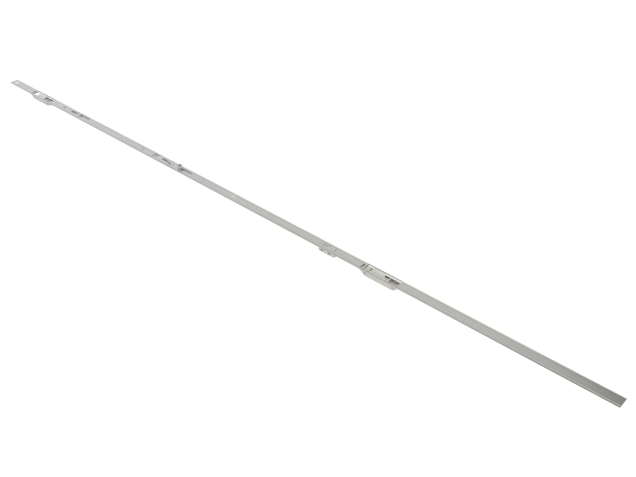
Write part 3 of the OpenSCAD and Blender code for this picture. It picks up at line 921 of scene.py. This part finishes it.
@dataclass
class ClawCase:
    """A boat-shaped case with the claw that slides in it, with sizes in millimetres."""

    shop: Workshop
    letter: str
    case_edge: float = 0.35
    block_edge: float = 0.35
    leaf_edge: float = 0.42
    rivet_dome: float = 0.2

    def build(self) -> None:
        """Dress the case and the claw's plates, and rivet them."""
        self.shop.dress("case_" + self.letter, self.case_edge, segments=3)
        claw = f"claw_{self.letter}_"
        self.shop.dress(claw + "block", self.block_edge, segments=3)
        for leaf in ("inner_leaf", "outer_leaf"):
            self.shop.dress(claw + leaf, self.leaf_edge)
        self._rivets(claw + "rivets")

    def _rivets(self, node: str) -> None:
        """Model both cross rivets with domed, spun ends.

        Args:
            node: The node of the two rivets.
        """
        rivets = []
        for low, high in self.shop.solids_of(node):
            middle = (low + high) / 2
            radius, length = (high.z - low.z) / 2, high.y - low.y
            shoulder_r, shoulder_h = radius * 0.8, self.rivet_dome * 0.7
            profile = [(radius * 0.35, -self.rivet_dome), (shoulder_r, -shoulder_h), (radius, 0.0),
                       (radius, length), (shoulder_r, length + shoulder_h),
                       (radius * 0.45, length + self.rivet_dome),
                       (radius * 0.3, length + self.rivet_dome * 0.4)]
            rivet = turned(node, profile, sides=32)
            settle(rivet, (middle.x * MM, low.y * MM, middle.z * MM), (-90.0, 0.0, 0.0))
            rivets.append(rivet)
        rivets = joined(node + "_finished", rivets)
        smooth(rivets, 40.0)
        self.shop.place(rivets, node)


@dataclass
class Cam:
    """The mushroom cam: stud, washer and the roller that turns between them, with sizes in millimetres."""

    shop: Workshop
    neck_d: float = 4.2
    tail_d: float = 3.2
    gap: float = 0.05
    rod_t: float = 2.4
    head_rounding: float = 1.2
    head_rim: float = 0.25
    dish: float = 0.02
    tail_chamfer: float = 0.2
    neck_chamfer: float = 0.15
    neck_fillet: float = 0.1
    hex_width: float = 2.6
    hex_depth: float = 1.3
    roller_rounding: float = 0.6
    roller_chamfer: float = 0.2
    step_inset: float = 0.8
    step_h: float = 0.06
    stud_edge: float = 0.1
    washer_edge: float = 0.08

    def build(self) -> None:
        """Model the stud with its hexagon and the roller, and dress the washer."""
        self._stud()
        self._roller()
        self.shop.dress("cam_washer", self.washer_edge)

    def _stud(self) -> None:
        """Turn the stud and cut the hexagon in its head."""
        (low, high), = self.shop.solids_of("cam_stud")
        middle = (low + high) / 2
        head_r, neck_r, tail_r = (high.x - low.x) / 2, self.neck_d / 2, self.tail_d / 2
        seat = low.z + self.rod_t
        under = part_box("cam_roller")[1][2] / MM + self.gap
        rim, chamfer, fillet = self.head_rim, self.neck_chamfer, self.neck_fillet
        rim_cut = rim * 0.24
        crown_r = head_r - self.head_rounding
        face = high.z - self.dish
        profile = [(tail_r * 0.5, low.z), (tail_r - self.tail_chamfer, low.z),
                   (tail_r, low.z + self.tail_chamfer), (tail_r, seat),
                   (neck_r - chamfer, seat), (neck_r, seat + chamfer),
                   (neck_r, under - fillet), (neck_r + fillet, under),
                   (head_r - rim, under), (head_r - rim_cut, under + rim_cut), (head_r, under + rim),
                   *rounding(self.head_rounding, (crown_r, high.z - self.head_rounding), 0.0, 78.0, 8),
                   (crown_r - 0.5, face), (self.hex_width * 0.62, face)]
        stud = turned("cam_stud_finished", profile)
        bpy.ops.mesh.primitive_cylinder_add(vertices=6, radius=self.hex_width / math.sqrt(3.0) * MM,
                                            depth=2 * self.hex_depth * MM, location=(0.0, 0.0, high.z * MM))
        cut_out(stud, bpy.context.object)
        settle(stud, (middle.x * MM, middle.y * MM, 0.0))
        break_edges(stud, self.stud_edge * MM)
        self.shop.place(stud, "cam_stud")

    def _roller(self) -> None:
        """Turn the roller with a shallow step at each rim."""
        (low, high), = self.shop.solids_of("cam_roller")
        middle = (low + high) / 2
        inner, outer, height = self.neck_d / 2 + self.gap, (high.x - low.x) / 2, high.z - low.z
        chamfer, rounding_r = self.roller_chamfer, self.roller_rounding
        step_r, step_h = outer - self.step_inset, self.step_h
        profile = [(inner, chamfer), (inner + chamfer, 0.0), (step_r, 0.0), (step_r + step_h, step_h),
                   *rounding(rounding_r, (outer - rounding_r, rounding_r), -90.0, 0.0, 5),
                   *rounding(rounding_r, (outer - rounding_r, height - rounding_r), 0.0, 90.0, 5),
                   (step_r + step_h, height - step_h), (step_r, height), (inner + chamfer, height),
                   (inner, height - chamfer), (inner, chamfer)]
        roller = turned("cam_roller_finished", profile, ring=True)
        settle(roller, (middle.x * MM, middle.y * MM, low.z * MM))
        smooth(roller, 35.0)
        self.shop.place(roller, "cam_roller", slot=Slot.BRIGHT)


@dataclass
class GuardLever:
    """The sprung lever beside the cam, with its housing, pin, spring and clip.

    Sizes are in millimetres.
    """

    shop: Workshop
    wire: float = 0.8
    coil: float = 4.0
    turns: int = 7
    keep: float = 0.93
    clip_wire: float = 1.0
    clip_bend: float = 2.0
    housing_edge: float = 0.2
    lever_edge: float = 0.3
    pin_edge: float = 0.15
    clip_edge: float = 0.15

    def build(self) -> None:
        """Dress the housing and lever, wind the spring and bend the clip."""
        self.shop.dress("guard_housing", self.housing_edge)
        self.shop.dress("guard_lever", self.lever_edge, segments=3)
        self.shop.dress("guard_pin", self.pin_edge)
        self._spring()
        self._clip()

    def _spring(self) -> None:
        """Wind the coil spring with two closed turns at each end."""
        low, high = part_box("guard_spring")
        middle = [(a + b) / 2 for a, b in zip(low, high)]
        wire_r = self.wire / 2
        coil_r = self.coil / 2 - wire_r
        steps = 36 * self.turns
        open_length = high[0] - low[0] - 3 * self.wire * MM
        bpy.ops.mesh.primitive_circle_add(vertices=12, radius=wire_r * MM, location=(0.0, coil_r * MM, 0.0))
        coil = bpy.context.object
        bpy.ops.object.transform_apply(location=True, rotation=True, scale=True)
        apply_modifier(coil, "SCREW", axis="X", angle=math.tau * self.turns, steps=steps,
                       render_steps=steps, screw_offset=open_length, iterations=1,
                       use_merge_vertices=True, merge_threshold=MERGE, use_smooth_shade=True)
        settle(coil, (low[0] + 1.5 * self.wire * MM, middle[1], middle[2]))
        rings = [coil]
        first, second = wire_r * MM, 3 * wire_r * MM
        for x in (low[0] + first, low[0] + second, high[0] - second, high[0] - first):
            bpy.ops.mesh.primitive_torus_add(major_segments=40, minor_segments=12, major_radius=coil_r * MM,
                                             minor_radius=wire_r * MM, rotation=(0.0, math.pi / 2, 0.0),
                                             location=(x, middle[1], middle[2]))
            rings.append(bpy.context.object)
            bpy.ops.object.transform_apply(location=True, rotation=True, scale=True)
        spring = joined("guard_spring_finished", rings)
        with editing(spring):
            bpy.ops.mesh.normals_make_consistent(inside=False)
            bpy.ops.mesh.faces_shade_smooth()
        self.shop.place(spring, "guard_spring")
        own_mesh(spring)

    def _clip(self) -> None:
        """Bend the clip's round wire to an S."""
        low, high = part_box("housing_clip")
        middle = Vector((low[0] + high[0], low[1] + high[1], low[2] + high[2])) / 2
        wire_r, spread = self.clip_wire / 2 * MM, self.clip_bend * MM
        bpy.ops.mesh.primitive_circle_add(vertices=12, radius=wire_r, fill_type="NGON",
                                          rotation=(math.pi / 2, 0.0, 0.0),
                                          location=(middle.x - 2 * spread + wire_r, middle.y, middle.z))
        clip = bpy.context.object
        bpy.ops.object.transform_apply(location=True, rotation=True, scale=True)
        with editing(clip):
            for angle, centre_x in ((-math.pi, middle.x - spread), (math.pi, middle.x + spread)):
                bpy.ops.mesh.spin(steps=20, angle=angle, axis=(0.0, 0.0, 1.0),
                                  center=(centre_x, middle.y, middle.z))
            bpy.ops.mesh.select_all(action="SELECT")
            bpy.ops.mesh.remove_doubles(threshold=MERGE)
            bpy.ops.mesh.normals_make_consistent(inside=False)
        break_edges(clip, self.clip_edge * MM, angle=50.0)
        clip.name = "housing_clip_finished"
        self.shop.place(clip, "housing_clip")


@dataclass
class RodGuides:
    """The bracket and the fasteners that guide the rod from below, with sizes in millimetres."""

    shop: Workshop
    bracket_edge: float = 0.25
    screw_edge: float = 0.15
    shank_d: float = 3.4
    head_d: float = 5.6
    head_h: float = 0.9
    under_h: float = 1.0
    crown: float = 0.5
    crown_steps: tuple[tuple[float, float], ...] = ((0.4, 0.45), (0.8, 0.8))
    under_chamfer: float = 0.25
    ledge_chamfer: float = 0.2
    head_chamfer: float = 0.12
    dimple: float = 0.2

    def build(self) -> None:
        """Dress the bracket, set the rivets and drive the screw into its nut."""
        self.shop.dress("guide_bracket", self.bracket_edge)
        self._rivets()
        for node in ("guide_screw", "guide_nut"):
            self.shop.dress(node, self.screw_edge)

    def _rivets(self) -> None:
        """Model every guide rivet with a dimpled upper head, its crown stepped inward from the rim."""
        shank_r, head_r = self.shank_d / 2, self.head_d / 2
        rivets = []
        for low, high in self.shop.solids_of("guide_rivets"):
            bottom, top, under_r = low.z, high.z, (high.x - low.x) / 2
            ledge, seat = bottom + self.under_h, top - self.head_h
            low_cut, high_cut, rim = self.under_chamfer, self.ledge_chamfer, self.head_chamfer
            profile = [(0.4, bottom), (under_r - low_cut, bottom), (under_r, bottom + low_cut),
                       (under_r, ledge - high_cut), (under_r - high_cut, ledge), (shank_r, ledge),
                       (shank_r, seat), (head_r, seat), (head_r, top - rim), (head_r - rim, top),
                       *((head_r - inset, top + self.crown * share) for inset, share in self.crown_steps),
                       (head_r / 2, top + self.crown), (head_r * 0.4, top - rim),
                       (head_r * 0.2, top - self.dimple)]
            rivet = turned("guide_rivet", profile, sides=48)
            settle(rivet, ((low.x + high.x) / 2 * MM, 0.0, 0.0))
            rivets.append(rivet)
        rivets = joined("guide_rivets_finished", rivets)
        smooth(rivets, 35.0)
        self.shop.place(rivets, "guide_rivets", slot=Slot.SPRING)


@dataclass(frozen=True)
class Panel:
    """A soft light: its name, its middle and its size in metres, and its power in watts."""

    name: str
    place: Triple
    size: tuple[float, float]
    power: float


@dataclass
class Studio:
    """The camera, the floor and the soft lights.

    Places are in metres and angles in degrees. The dark side of the room is a cone of directions, given by
    the cosines of its rim and core.
    """

    camera_place: Triple = (0.7375, -0.6329, 0.6257)
    camera_pitch: float = 35.78
    camera_turn: float = 41.94
    lens: float = 44.12
    floor_size: float = 14.0
    floor_glow: float = 0.88
    floor_paint: Colour = (0.8, 0.8, 0.8)
    glow_seen: float = 1.12
    glow_in_metal: float = 0.8
    dark_floor_x: tuple[float, float] = (0.33, 0.52)
    dark_floor_glow: float = 0.12
    horizon: float = 1.09
    overhead: float = 0.56
    shade_from: Triple = (0.014, 0.716, 0.698)
    shade_core: float = 0.987
    shade_rim: float = 0.967
    shade_depth: float = 0.02
    front_from: tuple[float, float] = (-0.1, -0.6)
    front_dim: float = 0.72
    panels: tuple[Panel, ...] = (
        Panel("panel_front", (1.4, -2.6, 1.7), (2.0, 1.4), 5.0),
        Panel("panel_top", (0.2, 0.1, 2.7), (2.4, 1.2), 3.0),
    )

    def build(self) -> None:
        """Set the camera, floor, world and panels."""
        self._camera()
        self._floor()
        self._world()
        for panel in self.panels:
            self._hang(panel)
        bpy.context.scene.view_settings.view_transform = "Standard"

    def _camera(self) -> None:
        """Set the camera at the photograph's viewing angle."""
        data = bpy.data.cameras.new("camera")
        data.lens = self.lens
        data.sensor_width = 36.0
        data.clip_start = 0.01
        data.clip_end = 60.0
        camera = bpy.data.objects.new("camera", data)
        camera.location = self.camera_place
        camera.rotation_euler = (math.radians(90.0 - self.camera_pitch), 0.0, math.radians(self.camera_turn))
        bpy.context.scene.collection.objects.link(camera)
        bpy.context.scene.camera = camera

    def _floor(self) -> None:
        """Lay a white floor that stays pale in view, and that the metal mirrors dark near the plain end."""
        bpy.ops.mesh.primitive_plane_add(size=self.floor_size, location=(0.0, 0.0, 0.0))
        floor = bpy.context.object
        floor.name = "floor"
        with editing(floor):
            bpy.ops.mesh.subdivide(number_cuts=6)
        material = bpy.data.materials.new("floor_white")
        material.use_nodes = True
        sheet = NodeSheet(material.node_tree)
        paint = sheet.add("BsdfDiffuse")
        paint.inputs["Color"].default_value = (*self.floor_paint, 1.0)
        glow = sheet.add("Emission")
        seen = sheet.add("LightPath").outputs["Is Camera Ray"]
        place = sheet.parts(sheet.add("TexCoord").outputs["Object"])
        mirrored = sheet.spread(place["X"], *self.dark_floor_x, self.glow_in_metal, self.dark_floor_glow)
        mirrored = sheet.product(sheet.math("SUBTRACT", 1.0, seen), mirrored)
        sheet.link(sheet.math("ADD", sheet.product(seen, self.glow_seen), mirrored), glow.inputs["Strength"])
        mix = sheet.add("MixShader")
        mix.inputs["Fac"].default_value = self.floor_glow
        sheet.link(paint.outputs["BSDF"], mix.inputs[1])
        sheet.link(glow.outputs["Emission"], mix.inputs[2])
        sheet.link(mix.outputs["Shader"], sheet.add("OutputMaterial").inputs["Surface"])
        floor.data.materials.append(material)

    def _world(self) -> None:
        """Light the room like a tent: brighter low down, dimmer in front, with one soft dark side."""
        world = bpy.data.worlds.new("room")
        bpy.context.scene.world = world
        world.use_nodes = True
        sheet = NodeSheet(world.node_tree)
        facing = sheet.add("TexCoord").outputs["Generated"]
        direction = sheet.parts(facing)
        sky = sheet.spread(direction["Z"], 0.0, 1.0, self.horizon, self.overhead)
        dimmed = sheet.spread(direction["Y"], *self.front_from, 1.0, self.front_dim)
        toward = sheet.add("VectorMath", operation="DOT_PRODUCT")
        toward.inputs[1].default_value = self.shade_from
        sheet.link(facing, toward.inputs[0])
        shade = sheet.spread(toward.outputs["Value"], self.shade_rim, self.shade_core, 1.0, self.shade_depth)
        light = sheet.add("Background")
        light.inputs["Color"].default_value = (1.0, 1.0, 1.0, 1.0)
        sheet.link(sheet.product(sky, shade, dimmed), light.inputs["Strength"])
        sheet.link(light.outputs["Background"], sheet.add("OutputWorld").inputs["Surface"])

    @staticmethod
    def _hang(panel: Panel) -> None:
        """Hang one panel that faces the middle of the bar, out of the camera's sight.

        Args:
            panel: The panel to hang.
        """
        data = bpy.data.lights.new(panel.name, "AREA")
        data.shape = "RECTANGLE"
        data.size, data.size_y = panel.size
        data.energy = panel.power
        light = bpy.data.objects.new(panel.name, data)
        light.location = panel.place
        light.rotation_euler = (-Vector(panel.place)).to_track_quat("-Z", "Y").to_euler()
        light.visible_camera = False
        bpy.context.scene.collection.objects.link(light)


def main() -> None:
    """Build the studio and every sub-assembly, in order."""
    logging.basicConfig(level=logging.INFO, format="%(name)s: %(message)s")
    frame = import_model()
    Studio().build()
    shop = Workshop(frame)
    Faceplates(shop).build()
    DriveRod(shop).build()
    for letter in "ab":
        ClawCase(shop, letter).build()
    Cam(shop).build()
    GuardLever(shop).build()
    RodGuides(shop).build()


if __name__ == "__main__":
    main()
